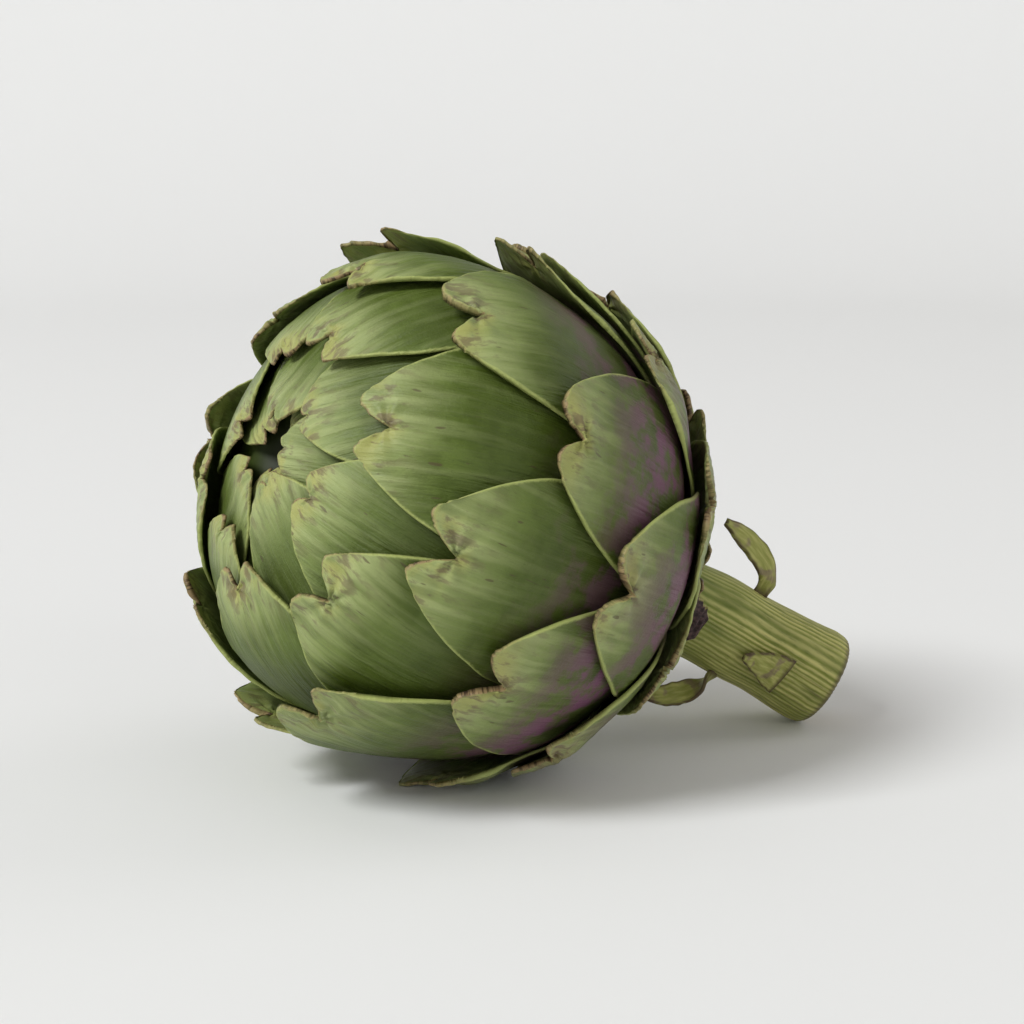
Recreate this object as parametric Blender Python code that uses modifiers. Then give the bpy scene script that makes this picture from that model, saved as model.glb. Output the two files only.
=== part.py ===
"""Globe artichoke, picked, lying on its side with its cut stem down.

Every bract (scale leaf) is a body of its own. The bracts follow the plant's spiral: each
one is turned by the golden angle from the one before it, its tip a little further from
the crown, and its sheet lies over the sheets of all the earlier ones. The axis of the
head is tipped in the XZ plane, with the crown up towards -X and the stem down towards +X.
All lengths are in millimetres until the points are handed to Blender.
"""

import math

import bmesh
import bpy
import numpy as np

PART_NAME = "artichoke"
METRES_PER_MM = 0.001

# Head: an egg-shaped envelope around the head's centre
HEAD_CENTRE = np.array((-19.99, 0.53, 52.2))
CROWN_PITCH = math.radians(22)
HEAD_RADIUS = 52.8
CROWN_DEPTH = 46.8
BASE_DEPTH = 45.5
FULLNESS = (2.6, 2.5)                 # power of the curve at the crown and the base: 2 is an ellipse

# Spiral of the bracts, by index from the crown
SPIRAL_TURN = 137.75                  # degrees from one bract to the next: close to the golden angle
FIRST_AZIMUTH = 271.7
FIRST_BRACT, LAST_BRACT = 2, 49
TIP_POLAR = (2.1, 2.45, 0.0103)      # degrees from the crown: constant, per index, per index squared
LAYER_STEP = 0.40                     # how much deeper each earlier sheet lies
CROWN_LAYER_STEP = 0.30               # added to that step at the crown
CROWN_LAYER_REACH = 30.0              # degrees over which the added step fades

# One full-size bract
ARC_RADIUS = 50.0                     # turns lengths along the head into angles
TIP_HALF_WIDTH = 6.5
MAX_HALF_WIDTH = 24.0
WIDENING_LENGTH = 14.0
BASE_NARROWING = 0.62                 # share of the width lost on the way to the base
NARROWING_START = 45.0
NOTCH_DEPTH = 3.6
LOBE_REACH = 1.6
SHOULDER_DROP = 1.2
BASE_POLAR = 158.0                    # where the sheets meet the receptacle
OUTER_BASE_POLAR = 162.0
EDGE_THICKNESS = 0.75
MID_THICKNESS = 1.15
TIP_BULGE = 0.9                       # extra outward thickness in the part that shows
BULGE_LENGTH = 26.0
TIP_LIFT = 0.6
LIFT_LENGTH = 17.0
CLEARANCE = 0.15                      # taken off each face of each sheet
LEAST_WALL = 0.5                      # left over where a sheet is flattened by the ground
FIRST_OUTER_BRACT = 34                # from here on the sheets reach OUTER_BASE_POLAR

# How much smaller bracts get toward the crown and the stem: (smallest share, from, over)
CROWN_TIP_SHRINK = (0.36, 1.0, 17.0)
CROWN_SHEET_SHRINK = (0.70, 1.0, 13.0)
STEM_SHRINK = (0.62, 40.0, 9.0)

# The tip's outline: places and widths are shares of the tip's half width
NOTCH_WIDTH = 0.22
LOBE_PLACE = 0.6
LOBE_WIDTH = 0.3
EDGE_FADE_POWER = 6                   # how fast the tip's outline fades down the bract

# Hand-set leans of single bracts: index -> (polar degrees, azimuth degrees, extra lift)
LEANS = {
    4: (2, -6, 0), 6: (4, -8, 0), 7: (3, -6, 0), 10: (-2, 5, 0.3), 11: (-2, -7, 0),
    12: (8, -14, 0.6), 13: (-1, 5, 0.3), 14: (7, 2, 0.8), 15: (-1, -6, 0.3), 16: (-5, 4, 0),
    18: (3, 6, 0), 19: (12, -7, 2.6), 20: (7, -16, 3.0), 21: (-4, 0, 0), 23: (16, 8, 2.4),
    24: (-11, 0, 1.0), 28: (9, -16, 2.4), 29: (-7, 0, 0), 31: (11, 0, 0.5), 32: (4, 10, 1.2),
    34: (-6, -4, 0), 37: (-3, 6, 0), 39: (2, -10, 0),
}

# Stem: from the receptacle inside the head to the cut end on the ground
STEM_START = 26.4                     # from the head's centre, along the axis
STEM_BEND = 58.0                      # how far down the axis the centre line is drawn
STEM_END = np.array((85.0, -19.6, -43.47))
STEM_RADII = ((0.0, 9.3), (0.07, 11.2), (0.3, 10.9), (0.45, 10.2), (0.8, 10.3), (0.96, 10.9), (1.0, 10.4))
STEM_POINTS = 15
STEM_BEVEL_RESOLUTION = 4

# Inner bud: the joined young bracts, turned about the head's axis
BUD_INDEX = -3
BUD_DIMPLE = 9.0
BUD_DIMPLE_WIDTH = 9.0                # degrees
BUD_RINGS = 14
BUD_STEPS = 24

# Small leaves on the stem: name -> (route, half widths, thickness). The route's points are
# (distance along the stem from the cut end, azimuth around it, height over its surface).
STEM_LEAVES = {
    "stem_leaf_upper": (((20.5, 84, 0.8), (20.5, 88, 4), (24, 90, 7.2), (29, 90, 9.3), (34, 89, 10.2)),
                        (2.4, 2.7, 2.6, 2.1, 0.9), 1.1),
    "stem_leaf_lower": (((21.5, -72, 0.8), (23, -80, 4), (26, -84, 7.2), (29.5, -85, 9.6), (33, -86, 11)),
                        (2.2, 2.8, 2.8, 2.2, 0.9), 1.1),
    "stem_leaf_scar": (((10.5, -14, 0.8), (14, -13, 0.9), (18, -13, 1.4), (21, -14, 2.6)),
                       (4.4, 3.8, 2.2, 0.7), 0.9),
    "stem_leaf_neck": (((32.2, -12, 0.85), (35.2, -12, 0.85), (38.2, -12, 0.9)),
                       (3.2, 5.4, 5.6), 0.8),
}
STEM_LEAF_CURL = 0.14                 # how far the sides bend in, as a share of the half width

CREASE_ANGLE = 50.0                   # degrees; sharper edges than this are shaded as creases
BRACT_GREEN = (0.16, 0.22, 0.07)
BUD_GREEN = (0.30, 0.36, 0.14)
STEM_GREEN = (0.28, 0.31, 0.12)

# Mesh of a bract: columns across it, rows near its tip and shared rings further down
COLUMNS = (-1.0, -0.6, 0.0, 0.6, 1.0)
TIP_ROWS = (0.0, 3.0, 8.0, 15.0)
RING_STEP = 14.0
RING_CLEAR_OF_TIP = 18.5


def smoothstep(x):
    x = np.clip(x, 0.0, 1.0)
    return x * x * (3.0 - 2.0 * x)


def axes():
    """The head's own directions: to the crown, up across the head, and sideways."""
    crown = np.array((-math.cos(CROWN_PITCH), 0.0, math.sin(CROWN_PITCH)))
    upward = np.array((math.sin(CROWN_PITCH), 0.0, math.cos(CROWN_PITCH)))
    return crown, upward, np.cross(crown, upward)


CROWN, UPWARD, SIDEWAYS = axes()


def envelope(polar):
    """Radius of the head at a polar angle from the crown, in radians."""
    toward_crown = np.cos(polar) > 0
    depth = np.where(toward_crown, CROWN_DEPTH, BASE_DEPTH)
    power = np.where(toward_crown, *FULLNESS)
    lengthwise = np.abs(np.cos(polar) / depth) ** power
    crosswise = np.abs(np.sin(polar) / HEAD_RADIUS) ** power
    return (lengthwise + crosswise) ** (-1.0 / power)


def tip_polar(index):
    start, slope, growth = TIP_POLAR
    return start + slope * index + growth * index**2


def index_at(polar):
    """The spiral index whose tip would lie at this polar angle (radians)."""
    start, slope, growth = TIP_POLAR
    beyond = np.maximum(slope**2 + 4.0 * growth * (np.degrees(polar) - start), 0.0)
    return (np.sqrt(beyond) - slope) / (2.0 * growth)


def sheet_radius(index, polar):
    """Radius of the middle of a bract's sheet: each earlier sheet lies one step deeper."""
    step = LAYER_STEP + CROWN_LAYER_STEP * np.exp(-((np.degrees(polar) / CROWN_LAYER_REACH) ** 2))
    return envelope(polar) - step * (index_at(polar) - index)


def size_share(index, crown_shrink):
    """A bract's size as a share of full size: smaller toward the crown and the stem."""
    crown_least, crown_from, crown_over = crown_shrink
    stem_least, stem_from, stem_over = STEM_SHRINK
    crown_side = crown_least + (1.0 - crown_least) * smoothstep((index - crown_from) / crown_over)
    stem_side = 1.0 - (1.0 - stem_least) * smoothstep((index - stem_from) / stem_over)
    return crown_side * stem_side


def tip_scale(index):
    return size_share(index, CROWN_TIP_SHRINK)


def sheet_scale(index):
    """The sheets below the tips vary less than the tips do."""
    return size_share(index, CROWN_SHEET_SHRINK)


def half_width(index, along, length):
    narrow = TIP_HALF_WIDTH * tip_scale(index)
    wide = MAX_HALF_WIDTH * sheet_scale(index)
    widening = 1.0 - np.exp(-along / (WIDENING_LENGTH * sheet_scale(index)))
    start = min(NARROWING_START, 0.5 * length)
    narrowing = 1.0 - BASE_NARROWING * smoothstep((along - start) / (length - start))
    return (narrow + (wide - narrow) * widening) * narrowing


def tip_edge(across, scale):
    """How far down from the tip the edge starts: a notch between two lobes."""
    notch = NOTCH_DEPTH * np.exp(-((across / NOTCH_WIDTH) ** 2))
    lobes = -LOBE_REACH * np.exp(-(((np.abs(across) - LOBE_PLACE) / LOBE_WIDTH) ** 2))
    shoulders = SHOULDER_DROP * np.abs(across) ** 4
    return scale * (notch + lobes + shoulders)


def bract_points(index, face):
    """Grid of points on one face of a bract: face is +1 outside and -1 inside."""
    scale = tip_scale(index)
    lean_polar, lean_azimuth, extra_lift = LEANS.get(index, (0, 0, 0))
    azimuth = math.radians(FIRST_AZIMUTH - SPIRAL_TURN * index + lean_azimuth)
    tip = tip_polar(index) + lean_polar
    base = BASE_POLAR if index < FIRST_OUTER_BRACT else OUTER_BASE_POLAR
    length = math.radians(base - tip) * ARC_RADIUS

    tip_rows = [row * scale for row in TIP_ROWS if row * scale < 0.6 * length]
    ring_angles = np.arange(0.0, base - 0.3 * RING_STEP, RING_STEP)
    rings = np.radians(ring_angles - tip) * ARC_RADIUS
    rows = np.array(tip_rows + [r for r in rings if r > RING_CLEAR_OF_TIP * scale] + [length])

    across, down = np.meshgrid(COLUMNS, rows)
    along = down + tip_edge(across, scale) * (1.0 - down / length) ** EDGE_FADE_POWER
    aside = across * half_width(index, down, length)
    down_angle = math.radians(tip) + along / ARC_RADIUS
    side_angle = aside / ARC_RADIUS

    outward = math.cos(azimuth) * UPWARD + math.sin(azimuth) * SIDEWAYS
    lateral = -math.sin(azimuth) * UPWARD + math.cos(azimuth) * SIDEWAYS
    direction = (
        (np.cos(side_angle) * np.cos(down_angle))[..., None] * CROWN
        + (np.cos(side_angle) * np.sin(down_angle))[..., None] * outward
        + np.sin(side_angle)[..., None] * lateral
    )
    polar = np.arccos(np.clip(direction @ CROWN, -1.0, 1.0))

    middle = 1.0 - across**2
    thickness = (EDGE_THICKNESS + (MID_THICKNESS - EDGE_THICKNESS) * middle) * (0.6 + 0.4 * scale)
    lift = (TIP_LIFT + extra_lift) * np.clip(1.0 - along / (LIFT_LENGTH * scale), 0.0, 1.2) ** 2
    radius = sheet_radius(index, polar) + lift
    if face > 0:
        shown = np.clip(1.0 - down / (BULGE_LENGTH * scale), 0.0, 1.0) ** 0.7
        radius = radius + 0.5 * thickness + TIP_BULGE * scale * middle * shown - CLEARANCE
    else:
        radius = radius - 0.5 * thickness + CLEARANCE
    points = HEAD_CENTRE + direction * radius[..., None]
    points[..., 2] = np.maximum(points[..., 2], 0.0 if face > 0 else LEAST_WALL)
    return points


def part_collection():
    for old in list(bpy.data.objects):
        bpy.data.objects.remove(old)
    collection = bpy.data.collections.new(PART_NAME)
    bpy.context.scene.collection.children.link(collection)
    return collection


def material(name, colour, roughness):
    made = bpy.data.materials.new(name)
    made.use_nodes = True
    shader = made.node_tree.nodes["Principled BSDF"]
    shader.inputs["Base Color"].default_value = (*colour, 1.0)
    shader.inputs["Roughness"].default_value = roughness
    shader.inputs["Metallic"].default_value = 0.0
    return made


def add_object(name, data, collection, finish):
    data.materials.append(finish)
    obj = bpy.data.objects.new(name, data)
    collection.objects.link(obj)
    return obj


def sheet_mesh(name, outer, inner):
    """Closed mesh between two matching grids of points, in millimetres."""
    rows, columns = outer.shape[:2]
    bm = bmesh.new()
    for points in (outer, inner):
        grid = bmesh.ops.create_grid(bm, x_segments=columns - 1, y_segments=rows - 1)["verts"]
        for vert, point in zip(grid, points.reshape(-1, 3), strict=True):
            vert.co = point * METRES_PER_MM
    bmesh.ops.bridge_loops(bm, edges=[edge for edge in bm.edges if edge.is_boundary])
    bmesh.ops.recalc_face_normals(bm, faces=bm.faces)
    mesh = bpy.data.meshes.new(name)
    bm.to_mesh(mesh)
    bm.free()
    mesh.shade_smooth()
    mesh.set_sharp_from_angle(angle=math.radians(CREASE_ANGLE))
    return mesh


def stem_centre(share):
    """Centre line of the stem: a gentle bend from the head's axis to the cut end."""
    start = HEAD_CENTRE - CROWN * STEM_START
    bend = HEAD_CENTRE - CROWN * STEM_BEND
    end = HEAD_CENTRE + STEM_END
    return (1 - share) ** 2 * start + 2 * share * (1 - share) * bend + share**2 * end


def stem_radius(share):
    places, radii = zip(*STEM_RADII)
    return float(np.interp(share, places, radii))


def build_stem(collection, finish):
    shares = sorted(set(np.linspace(0.0, 1.0, STEM_POINTS)) | {place for place, _ in STEM_RADII})
    curve = bpy.data.curves.new("stem", "CURVE")
    curve.dimensions = "3D"
    curve.bevel_depth = METRES_PER_MM
    curve.bevel_resolution = STEM_BEVEL_RESOLUTION
    curve.use_fill_caps = True
    spline = curve.splines.new("POLY")
    spline.points.add(len(shares) - 1)
    for point, share in zip(spline.points, shares, strict=True):
        point.co = (*(stem_centre(share) * METRES_PER_MM), 1.0)
        point.radius = stem_radius(share)
    add_object("stem", curve, collection, finish)


def build_inner_bud(collection, finish):
    polars = np.linspace(0.0, math.pi, BUD_RINGS)
    dimple = BUD_DIMPLE * np.exp(-((np.degrees(polars) / BUD_DIMPLE_WIDTH) ** 2))
    radii = (sheet_radius(BUD_INDEX, polars) - dimple) * METRES_PER_MM
    mesh = bpy.data.meshes.new("inner_bud")
    profile = [(r * math.sin(p), 0.0, r * math.cos(p)) for r, p in zip(radii, polars)]
    mesh.from_pydata(profile, [(i, i + 1) for i in range(len(profile) - 1)], [])
    bud = add_object("inner_bud", mesh, collection, finish)
    bud.location = HEAD_CENTRE * METRES_PER_MM
    bud.rotation_euler = (0.0, CROWN_PITCH - math.pi / 2, 0.0)
    screw = bud.modifiers.new("Turned", "SCREW")
    screw.steps = BUD_STEPS
    screw.render_steps = BUD_STEPS
    screw.use_merge_vertices = True
    screw.merge_threshold = 1e-5
    screw.use_smooth_shade = True


def stem_surface(from_cut, azimuth, height):
    """A point over the stem's surface; azimuth 0 faces -Y and 90 faces up."""
    start, end = stem_centre(0.0), stem_centre(1.0)
    share = 1.0 - from_cut / np.linalg.norm(end - start)
    ahead = stem_centre(share + 0.01) - stem_centre(share - 0.01)
    ahead /= np.linalg.norm(ahead)
    side = np.cross(ahead, (0.0, 0.0, 1.0))
    side /= np.linalg.norm(side)
    up = np.cross(side, ahead)
    angle = math.radians(azimuth)
    out = math.cos(angle) * side + math.sin(angle) * up
    return stem_centre(share) + out * (stem_radius(share) + height)


def build_stem_leaf(name, collection, finish):
    route, half_widths, thickness = STEM_LEAVES[name]
    line = np.array([stem_surface(*place) for place in route])
    along = np.gradient(line, axis=0)
    along /= np.linalg.norm(along, axis=1)[:, None]
    out = np.array([stem_surface(d, a, h + 1.0) - stem_surface(d, a, h) for d, a, h in route])
    across = np.cross(along, out)
    across /= np.linalg.norm(across, axis=1)[:, None]
    normal = np.cross(across, along)
    sides = np.array((-1.0, 0.0, 1.0))
    curl = -STEM_LEAF_CURL * sides**2
    widths = np.array(half_widths)
    middle = (
        line[:, None, :]
        + across[:, None, :] * (widths[:, None] * sides)[..., None]
        + normal[:, None, :] * (widths[:, None] * curl)[..., None]
    )
    shift = normal[:, None, :] * 0.5 * thickness
    add_object(name, sheet_mesh(name, middle + shift, middle - shift), collection, finish)


def main():
    collection = part_collection()
    bract_finish = material("bract_green", BRACT_GREEN, 0.55)
    build_inner_bud(collection, material("bud_green", BUD_GREEN, 0.6))
    for number, index in enumerate(range(FIRST_BRACT, LAST_BRACT + 1), start=1):
        name = f"bract_{number:02d}"
        mesh = sheet_mesh(name, bract_points(index, 1), bract_points(index, -1))
        add_object(name, mesh, collection, bract_finish)
    stem_finish = material("stem_green", STEM_GREEN, 0.6)
    build_stem(collection, stem_finish)
    for name in STEM_LEAVES:
        build_stem_leaf(name, collection, stem_finish)


main()
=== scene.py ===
"""Looks of the globe artichoke: fine bracts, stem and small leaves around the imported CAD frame.

The bracts follow the same spiral, envelope and sheet rules as the CAD solids that they
replace. Lengths are in millimetres until the points are handed to Blender. Only the floor
and the lights are placed in metres.
"""

import math

import bpy
import numpy as np
from mathutils import Matrix, Vector


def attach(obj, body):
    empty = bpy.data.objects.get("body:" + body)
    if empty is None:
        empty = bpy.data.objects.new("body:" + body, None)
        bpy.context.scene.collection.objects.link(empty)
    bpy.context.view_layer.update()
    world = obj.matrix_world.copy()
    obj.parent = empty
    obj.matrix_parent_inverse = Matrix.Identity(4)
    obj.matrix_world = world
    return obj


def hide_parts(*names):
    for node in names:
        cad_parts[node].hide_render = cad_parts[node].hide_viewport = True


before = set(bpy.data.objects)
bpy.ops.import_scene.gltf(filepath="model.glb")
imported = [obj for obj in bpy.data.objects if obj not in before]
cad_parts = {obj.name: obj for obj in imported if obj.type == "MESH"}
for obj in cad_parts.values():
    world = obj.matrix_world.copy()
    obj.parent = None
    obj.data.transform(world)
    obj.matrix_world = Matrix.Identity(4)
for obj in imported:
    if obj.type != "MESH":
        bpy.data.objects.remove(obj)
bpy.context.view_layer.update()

METRES_PER_MM = 0.001

# ---------------------------------------------------------------- the head, as the CAD has it
HEAD_CENTRE = np.array((-19.99, 0.53, 52.2))
CROWN_PITCH = math.radians(22)
HEAD_RADIUS = 52.8
CROWN_DEPTH = 46.8
BASE_DEPTH = 45.5
# Powers of the outline's curve toward the crown and toward the stem; 2 would be an ellipse
FULLNESS = (2.6, 2.5)
SPIRAL_TURN = 137.75
FIRST_AZIMUTH = 271.7
FIRST_BRACT, LAST_BRACT = 2, 49
# Tip angle from the crown in degrees: at index 0, its step, and the growth of the step
TIP_POLAR = (2.1, 2.45, 0.0103)
LAYER_STEP = 0.40
CROWN_LAYER_STEP = 0.30
CROWN_LAYER_REACH = 30.0
ARC_RADIUS = 50.0
TIP_HALF_WIDTH = 6.5
MAX_HALF_WIDTH = 24.0
# Smallest share of full size, the index where growth or shrinking starts, and how many it takes
CROWN_TIP_SHRINK = (0.36, 1.0, 17.0)
CROWN_SHEET_SHRINK = (0.70, 1.0, 13.0)
STEM_SHRINK = (0.62, 40.0, 9.0)
WIDENING_LENGTH = 14.0
BASE_NARROWING = 0.62
NARROWING_START = 45.0
BASE_POLAR = 158.0
OUTER_BASE_POLAR = 162.0
FIRST_OUTER_BRACT = 34
EDGE_THICKNESS = 0.75
MID_THICKNESS = 1.15
TIP_BULGE = 0.9
BULGE_LENGTH = 26.0
TIP_LIFT = 0.6
LIFT_LENGTH = 17.0
# How single bracts depart from the spiral: degrees down, degrees around, millimetres lifted
LEANS = {
    4: (2, -6, 0), 6: (4, -8, 0), 7: (3, -6, 0), 10: (-2, 5, 0.3), 11: (-2, -7, 0),
    12: (8, -14, 0.6), 13: (-1, 5, 0.3), 14: (7, 2, 0.8), 15: (-1, -6, 0.3), 16: (-5, 4, 0),
    18: (3, 6, 0), 19: (12, -7, 2.6), 20: (7, -16, 3.0), 21: (-4, 0, 0), 23: (16, 8, 2.4),
    24: (-11, 0, 1.0), 28: (9, -16, 2.4), 29: (-7, 0, 0), 31: (11, 0, 0.5), 32: (4, 10, 1.2),
    34: (-6, -4, 0), 37: (-3, 6, 0), 39: (2, -10, 0),
}
# The same for the young bracts of the inner bud, which ring the hollow at the crown
YOUNG_LEANS = {
    1: (2.5, 4, 0.3), 0: (4.0, 4, 0.2), -1: (5.0, 0, -0.5), -2: (7.5, 5, -1.2),
    -3: (9.5, -5, -2.0),
}
YOUNG_BASE_POLAR = 70.0

# ---------------------------------------------------------------- stem, as the CAD has it
STEM_START = 26.4
STEM_BEND = 58.0
STEM_END = np.array((85.0, -19.6, -43.47))
STEM_LENGTH = 71.0
# Radius at shares of the stem's length
STEM_RADII = (
    (0.0, 9.3), (0.07, 11.2), (0.3, 10.9), (0.45, 10.2), (0.8, 10.3), (0.96, 10.9), (1.0, 10.4),
)
# Each small leaf's route (from the cut, degrees around, height), half widths and thickness
STEM_LEAVES = {
    "stem_leaf_upper": (
        ((20.5, 82, -0.8), (20.5, 88, 4), (24, 90, 7.2), (29, 90, 9.3), (34, 89, 10.2)),
        (1.6, 2.2, 2.7, 2.3, 0.9),
        1.1,
    ),
    "stem_leaf_lower": (
        ((21.0, -70, -0.8), (23, -80, 4), (26, -84, 7.2), (29.5, -85, 9.6), (33, -86, 11)),
        (2.2, 2.8, 2.8, 2.2, 0.9),
        1.1,
    ),
    "stem_leaf_scar": (
        ((10.5, -14, 0.8), (14, -13, 0.9), (18, -13, 1.4), (21, -14, 2.6)),
        (4.4, 3.8, 2.2, 0.7),
        0.9,
    ),
    "stem_leaf_neck": (
        ((32.2, -12, 0.6), (35.2, -12, 0.85), (39.0, -12, 0.9)),
        (3.2, 5.4, 5.6),
        0.8,
    ),
}

# ---------------------------------------------------------------- detail that the CAD leaves out
SEED = 4107
# The bracts' tips: a notch between two lobes, on a nicked edge
NOTCH_DEPTH = 5.0
NOTCH_WIDTH = 0.19
NOTCH_SHIFT = 0.10
LOBE_REACH = 1.9
LOBE_PLACE = 0.58
LOBE_WIDTH = 0.30
SHOULDER_DROP = 1.2
CRENATION = 0.38
NICK_LENGTH = 0.9
EDGE_FADE_POWER = 6
EDGE_FADE_LENGTH = 9.0
TIP_BREADTH = 2.2
TIP_BREADTH_LENGTH = 5.0
# Their sides and rims
SIDE_WANDER = 0.022
SIDE_WANDER_LENGTH = 7.0
RIM_ROUND = 0.55
EDGE_CURL = 0.65
EDGE_CURL_WIDTH = 1.6
THIN_TIP_LENGTH = 6.0
# Bend of the crown's tips toward the hollow, up to the first bract that stays straight
CROWN_BEND = 1.3
CROWN_BEND_LENGTH = 6.0
LAST_FULLY_BENT, FIRST_STRAIGHT = 5.0, 14.0
# Relief: broad waves, folds around the notch, and veins
UNDULATION = 0.50
WAVE_LENGTH = 17.0
PUCKER = 0.65
FOLD_COUNT = 7.0
FOLD_REACH = 5.0
FOLD_CENTRE = 4.0
VEIN_RELIEF = 0.07
VEIN_SPACING = 1.9
VEIN_SPREAD = 0.02
VEIN_SWAY_LENGTH = 9.0
GROUND_GAP = 0.02
# How many crossing waves make up a smooth random surface
ROLLING_WAVES = 5

# The stem's ribs, its knotty surface and its cut end
RIB_COUNT = 50
RIB_DEPTH = 0.15
KNOT_HEIGHT = 0.25
CUT_ROUND = 1.6
CUT_ROUND_DEPTH = 0.9
CUT_HOLLOW = 0.9
CUT_RING_HEIGHT = 0.18
CUT_RING_WAVES = 12

# The small leaves: uneven edges, curl, dents, and the nominal length that their patterns use
RAGGED_EDGE = {
    "stem_leaf_upper": 0.05,
    "stem_leaf_lower": 0.06,
    "stem_leaf_scar": 0.08,
    "stem_leaf_neck": 0.13,
}
# Turn of each small leaf about its own length, in degrees, from its base to its tip
STEM_LEAF_TWIST = {
    "stem_leaf_upper": (10, 70),
    "stem_leaf_lower": (10, 60),
    "stem_leaf_scar": (0, 0),
    "stem_leaf_neck": (0, 0),
}
STEM_LEAF_CURL = 0.14
STEM_LEAF_DENT = 0.18
STEM_LEAF_PATTERN_LENGTH = 18.0

# The core inside the young bracts
BUD_INDEX = -3
BUD_DIMPLE = 9.0
BUD_DIMPLE_WIDTH = 9.0
BUD_FINE_UNTIL = 0.6

# ---------------------------------------------------------------- mesh resolution
COLUMNS = 69
COLUMN_CROWDING = 0.55
# Spacing of a bract's rows, and the distance from the tip until which it holds
ROW_SPACINGS = ((0.12, 0.6), (0.35, 6.0), (0.6, 30.0), (1.6, 52.0), (5.0, 200.0))
STEM_ROWS = 140
STEM_COLUMNS = 400
CUT_RINGS = 26
STEM_LEAF_ROWS, STEM_LEAF_COLUMNS = 61, 25
STEM_LEAF_CROWDING = 0.5
BUD_COLUMNS = 160
BUD_FINE_ROWS, BUD_COARSE_ROWS = 90, 60

# ---------------------------------------------------------------- colours
DEEP_GREEN = (0.042, 0.064, 0.006)
OLIVE = (0.070, 0.108, 0.006)
SAGE = (0.128, 0.186, 0.028)
# Pale bloom, also used as the painted highlight toward the tips
BLOOM_AND_HIGHLIGHT = (0.370, 0.425, 0.175)
TIP_YELLOW = (0.380, 0.370, 0.105)
PALE_RIM = (0.400, 0.450, 0.140)
# Pale cream painted as a highlight on the crown's small bracts
CROWN_PAINTED_HIGHLIGHT = (0.440, 0.490, 0.240)
DRY_TAN = (0.290, 0.205, 0.100)
DARK_BROWN = (0.070, 0.040, 0.022)
BRUISE = (0.118, 0.062, 0.052)
PURPLE = (0.170, 0.070, 0.122)
STEM_RIDGE = (0.590, 0.560, 0.200)
STEM_GROOVE = (0.230, 0.260, 0.045)
CUT_FACE = (0.330, 0.300, 0.170)
WITHERED_DARK = (0.030, 0.017, 0.018)
WITHERED_LIGHT = (0.105, 0.060, 0.058)
# Near-black painted shade for the hollow at the crown
HOLLOW_PAINTED_SHADE = (0.008, 0.010, 0.003)
FLOOR_COLOUR = (0.83, 0.835, 0.835)
BRACT_SPECULAR = 0.32
PLAIN_SPECULAR = 0.2

# ---------------------------------------------------------------- camera, light and floor
CAMERA_AZIMUTH = math.radians(-35)
CAMERA_ELEVATION = math.radians(10)
CAMERA_DISTANCE = 429.9
# Where the head's centre lies in the picture, right and up of the middle
CAMERA_ASIDE = (-12.1, -0.2)
LENS, SENSOR = 75.0, 36.0
WORLD_COLOUR = (1.0, 0.965, 0.915, 1.0)
WORLD_STRENGTH = 0.31
# Metres right, up and back as the camera sees them: up from the floor, the rest from the head
HEAD_SPOT = (0.0, 0.05, 0.0)
# Each light's place, the spot that it faces, its sides, power and colour
LIGHTS = {
    "key": ((-2.4, 2.9, 1.7), HEAD_SPOT, (1.4, 1.4), 128.0, (0.985, 0.995, 1.0)),
    "fill": ((2.6, 1.8, 3.0), HEAD_SPOT, (2.5, 2.5), 20.0, (1.0, 0.99, 0.97)),
    "back": ((2.8, 2.4, -1.2), HEAD_SPOT, (2.2, 2.2), 14.0, (1.0, 0.98, 0.95)),
    "wash": ((0.0, 2.2, -0.4), (0.0, 0.9, -2.0), (4.0, 0.8), 4.0, (1.0, 1.0, 0.985)),
}
FLOOR_FLAT_RADIUS = 1.2
FLOOR_BEND_RADIUS = 0.8
FLOOR_SIDES = 96
FLOOR_BEND_STEPS = 24
FLOOR_ROUGHNESS = 0.9


# ---------------------------------------------------------------- rules shared with the CAD
def smoothstep(x):
    x = np.clip(x, 0.0, 1.0)
    return x * x * (3.0 - 2.0 * x)


def from_least(least, share):
    """A factor that rises from least, where share is 0, to 1, where share is 1."""
    return least + (1.0 - least) * share


def axes():
    crown = np.array((-math.cos(CROWN_PITCH), 0.0, math.sin(CROWN_PITCH)))
    upward = np.array((math.sin(CROWN_PITCH), 0.0, math.cos(CROWN_PITCH)))
    return crown, upward, np.cross(crown, upward)


CROWN, UPWARD, SIDEWAYS = axes()


def envelope(polar):
    """Radius of the whole head at an angle from the crown."""
    toward_crown = np.cos(polar) > 0
    depth = np.where(toward_crown, CROWN_DEPTH, BASE_DEPTH)
    power = np.where(toward_crown, *FULLNESS)
    lengthwise = np.abs(np.cos(polar) / depth) ** power
    crosswise = np.abs(np.sin(polar) / HEAD_RADIUS) ** power
    return (lengthwise + crosswise) ** (-1.0 / power)


def tip_polar(index):
    """Angle of a bract's tip from the crown, in degrees."""
    start, slope, growth = TIP_POLAR
    return start + slope * index + growth * index**2


def index_at(polar):
    """Index of the bract whose tip would lie at an angle from the crown."""
    start, slope, growth = TIP_POLAR
    beyond = np.maximum(slope**2 + 4.0 * growth * (np.degrees(polar) - start), 0.0)
    return (np.sqrt(beyond) - slope) / (2.0 * growth)


def sheet_radius(index, polar):
    """Radius of a bract's sheet, which lies below every later bract's."""
    step = LAYER_STEP + CROWN_LAYER_STEP * np.exp(-((np.degrees(polar) / CROWN_LAYER_REACH) ** 2))
    return envelope(polar) - step * (index_at(polar) - index)


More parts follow.
